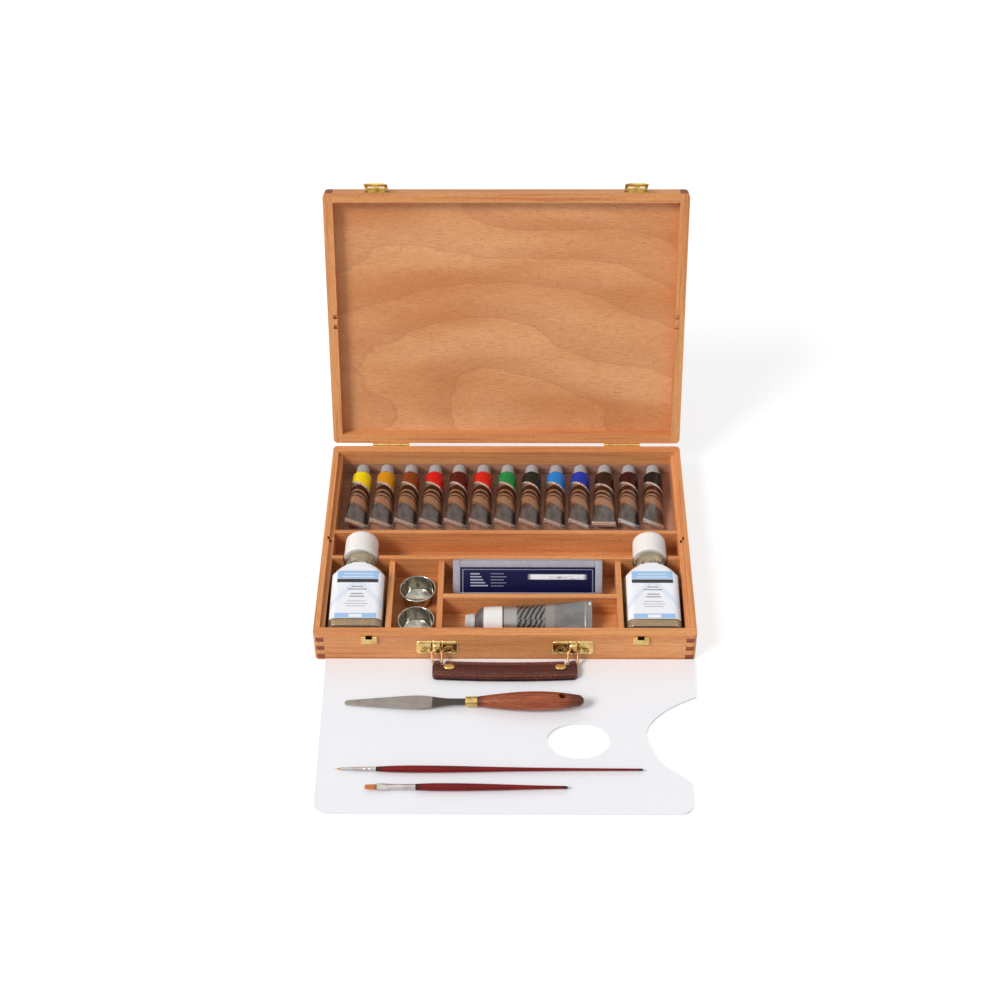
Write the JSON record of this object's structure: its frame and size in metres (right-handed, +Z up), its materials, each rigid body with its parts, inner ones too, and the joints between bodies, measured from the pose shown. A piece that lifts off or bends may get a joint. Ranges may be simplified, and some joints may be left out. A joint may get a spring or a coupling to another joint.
{
  "type": "painter's box with paint set",
  "caption": "Open wooden painter's box on brass hinges, with paint tubes in a tray, bottles, cups, charcoal case, and a palette with knife and brushes in front.",
  "frame": {"origin": "middle of the wooden base's underside, at floor level", "axes": "+X to the right seen from the front, +Y from the front wall to the hinges, +Z up; the lid stands open behind and the palette lies in front at negative Y"},
  "size_m": [0.4, 0.6035, 0.341],
  "materials": {
    "box_wood": "varnished beech",
    "plywood": "varnished plywood",
    "brass": "polished pressed brass",
    "ring_wire": "coppery wire",
    "leather": "pebbled",
    "leather_edge": "stitched edge",
    "clear_plastic": "clear vacuum formed",
    "tube_metal": "soft tube metal",
    "tube_print": "printed enamel",
    "tube_cap": "cloudy moulded",
    "bottle_glass": "clear",
    "medium": "pale oil medium",
    "paper_label": "printed",
    "white_plastic": "ribbed moulded",
    "polished_tin": "polished",
    "case_plastic": "cloudy moulded",
    "case_label": "printed",
    "charcoal": "dusty",
    "palette_white": "satin white",
    "blade_steel": "ground",
    "knife_wood": "red brown varnish",
    "brush_lacquer": "dark red lacquer",
    "nickel": "nickel plated",
    "brush_hair": "bristle"
  },
  "bodies": {
    "base": {"base_front": "box_wood", "base_back": "box_wood", "base_left": "box_wood", "base_right": "box_wood", "base_floor": "plywood", "tube_divider": "box_wood", "brush_divider": "box_wood", "cross_dividers": "box_wood", "mid_divider": "box_wood", "hinge_base_leaves": "brass", "hinge_pins": "brass", "catch_keepers": "brass", "handle_brackets": "brass", "base_screws": "brass"},
    "lid": {"lid_front_rail": "box_wood", "lid_back_rail": "box_wood", "lid_left_rail": "box_wood", "lid_right_rail": "box_wood", "lid_panel": "plywood", "hinge_lid_leaves": "brass", "catch_plates": "brass", "catch_pins": "brass", "lid_screws": "brass"},
    "hasp_left": {"catch_hasp_left": "brass"},
    "hasp_right": {"catch_hasp_right": "brass"},
    "handle": {"handle_rings": "ring_wire", "handle_grip": "leather", "handle_rivets": "brass"},
    "tray": {"tube_tray": "clear_plastic"},
    "small_tube_01": {"paint_tube_01": "tube_metal"},
    "small_tube_02": {"paint_tube_02": "tube_metal"},
    "small_tube_03": {"paint_tube_03": "tube_metal"},
    "small_tube_04": {"paint_tube_04": "tube_metal"},
    "small_tube_05": {"paint_tube_05": "tube_metal"},
    "small_tube_06": {"paint_tube_06": "tube_metal"},
    "small_tube_07": {"paint_tube_07": "tube_metal"},
    "small_tube_08": {"paint_tube_08": "tube_metal"},
    "small_tube_09": {"paint_tube_09": "tube_metal"},
    "small_tube_10": {"paint_tube_10": "tube_metal"},
    "small_tube_11": {"paint_tube_11": "tube_metal"},
    "small_tube_12": {"paint_tube_12": "tube_metal"},
    "small_tube_13": {"paint_tube_13": "tube_metal"},
    "bottle_left": {"bottle_left": "bottle_glass"},
    "bottle_right": {"bottle_right": "bottle_glass"},
    "cap_left": {"bottle_cap_left": "white_plastic"},
    "cap_right": {"bottle_cap_right": "white_plastic"},
    "cup_back": {"cup_back": "polished_tin"},
    "cup_front": {"cup_front": "polished_tin"},
    "charcoal_case": {"charcoal_case": "case_plastic"},
    "large_tube": {"large_tube": "tube_metal"},
    "palette": {"palette": "palette_white"},
    "knife": {"knife_blade": "blade_steel", "knife_ferrule": "brass", "knife_handle": "knife_wood"},
    "long_brush": {"long_brush_hair": "brush_hair", "long_brush_ferrule": "nickel", "long_brush_handle": "brush_lacquer"},
    "short_brush": {"short_brush_hair": "brush_hair", "short_brush_ferrule": "nickel", "short_brush_handle": "brush_lacquer"}
  },
  "joints": [
    {"name": "lid_hinge", "type": "hinge", "parent": "base", "child": "lid", "pos_m": [0, 0.15113, 0.0381], "axis": [-1, 0, 0], "range_deg": [-106.5, 0]},
    {"name": "hasp_left_swing", "type": "hinge", "parent": "lid", "child": "hasp_left", "pos_m": [-0.1415, 0.24405, 0.32678], "axis": [-1, 0, 0], "range_deg": [-30, 90]},
    {"name": "hasp_right_swing", "type": "hinge", "parent": "lid", "child": "hasp_right", "pos_m": [0.1415, 0.24405, 0.32678], "axis": [-1, 0, 0], "range_deg": [-30, 90]},
    {"name": "handle_swing", "type": "hinge", "parent": "base", "child": "handle", "pos_m": [0, -0.15245, 0.0165], "axis": [-1, 0, 0], "range_deg": [0, 90]},
    {"name": "tray_lift", "type": "slide", "parent": "base", "child": "tray", "axis": [0, 0, 1], "range_m": [0, 0.045]},
    {"name": "small_tube_01_lift", "type": "slide", "parent": "tray", "child": "small_tube_01", "axis": [0, 0, 1], "range_m": [0, 0.05]},
    {"name": "small_tube_02_lift", "type": "slide", "parent": "tray", "child": "small_tube_02", "axis": [0, 0, 1], "range_m": [0, 0.05]},
    {"name": "small_tube_03_lift", "type": "slide", "parent": "tray", "child": "small_tube_03", "axis": [0, 0, 1], "range_m": [0, 0.05]},
    {"name": "small_tube_04_lift", "type": "slide", "parent": "tray", "child": "small_tube_04", "axis": [0, 0, 1], "range_m": [0, 0.05]},
    {"name": "small_tube_05_lift", "type": "slide", "parent": "tray", "child": "small_tube_05", "axis": [0, 0, 1], "range_m": [0, 0.05]},
    {"name": "small_tube_06_lift", "type": "slide", "parent": "tray", "child": "small_tube_06", "axis": [0, 0, 1], "range_m": [0, 0.05]},
    {"name": "small_tube_07_lift", "type": "slide", "parent": "tray", "child": "small_tube_07", "axis": [0, 0, 1], "range_m": [0, 0.05]},
    {"name": "small_tube_08_lift", "type": "slide", "parent": "tray", "child": "small_tube_08", "axis": [0, 0, 1], "range_m": [0, 0.05]},
    {"name": "small_tube_09_lift", "type": "slide", "parent": "tray", "child": "small_tube_09", "axis": [0, 0, 1], "range_m": [0, 0.05]},
    {"name": "small_tube_10_lift", "type": "slide", "parent": "tray", "child": "small_tube_10", "axis": [0, 0, 1], "range_m": [0, 0.05]},
    {"name": "small_tube_11_lift", "type": "slide", "parent": "tray", "child": "small_tube_11", "axis": [0, 0, 1], "range_m": [0, 0.05]},
    {"name": "small_tube_12_lift", "type": "slide", "parent": "tray", "child": "small_tube_12", "axis": [0, 0, 1], "range_m": [0, 0.05]},
    {"name": "small_tube_13_lift", "type": "slide", "parent": "tray", "child": "small_tube_13", "axis": [0, 0, 1], "range_m": [0, 0.05]},
    {"name": "bottle_left_lift", "type": "slide", "parent": "base", "child": "bottle_left", "axis": [0, 0, 1], "range_m": [0, 0.06]},
    {"name": "bottle_right_lift", "type": "slide", "parent": "base", "child": "bottle_right", "axis": [0, 0, 1], "range_m": [0, 0.06]},
    {"name": "cap_left_turn", "type": "hinge", "parent": "bottle_left", "child": "cap_left", "pos_m": [-0.1575, -0.1328, 0.02023], "axis": [0, 0.9959, 0.0906], "continuous": true},
    {"name": "cap_right_turn", "type": "hinge", "parent": "bottle_right", "child": "cap_right", "pos_m": [0.15695, -0.1328, 0.02023], "axis": [0, 0.9959, 0.0906], "continuous": true},
    {"name": "cup_back_lift", "type": "slide", "parent": "base", "child": "cup_back", "axis": [0, 0, 1], "range_m": [0, 0.06]},
    {"name": "cup_front_lift", "type": "slide", "parent": "base", "child": "cup_front", "axis": [0, 0, 1], "range_m": [0, 0.06]},
    {"name": "charcoal_case_lift", "type": "slide", "parent": "base", "child": "charcoal_case", "axis": [0, 0, 1], "range_m": [0, 0.06]},
    {"name": "large_tube_lift", "type": "slide", "parent": "base", "child": "large_tube", "axis": [0, 0, 1], "range_m": [0, 0.06]},
    {"name": "palette_slide", "type": "slide", "parent": "base", "child": "palette", "axis": [0, -1, 0], "range_m": [0, 0.08]},
    {"name": "knife_lift", "type": "slide", "parent": "palette", "child": "knife", "axis": [0, 0, 1], "range_m": [0, 0.04]},
    {"name": "long_brush_lift", "type": "slide", "parent": "palette", "child": "long_brush", "axis": [0, 0, 1], "range_m": [0, 0.03]},
    {"name": "short_brush_lift", "type": "slide", "parent": "palette", "child": "short_brush", "axis": [0, 0, 1], "range_m": [0, 0.03]}
  ]
}
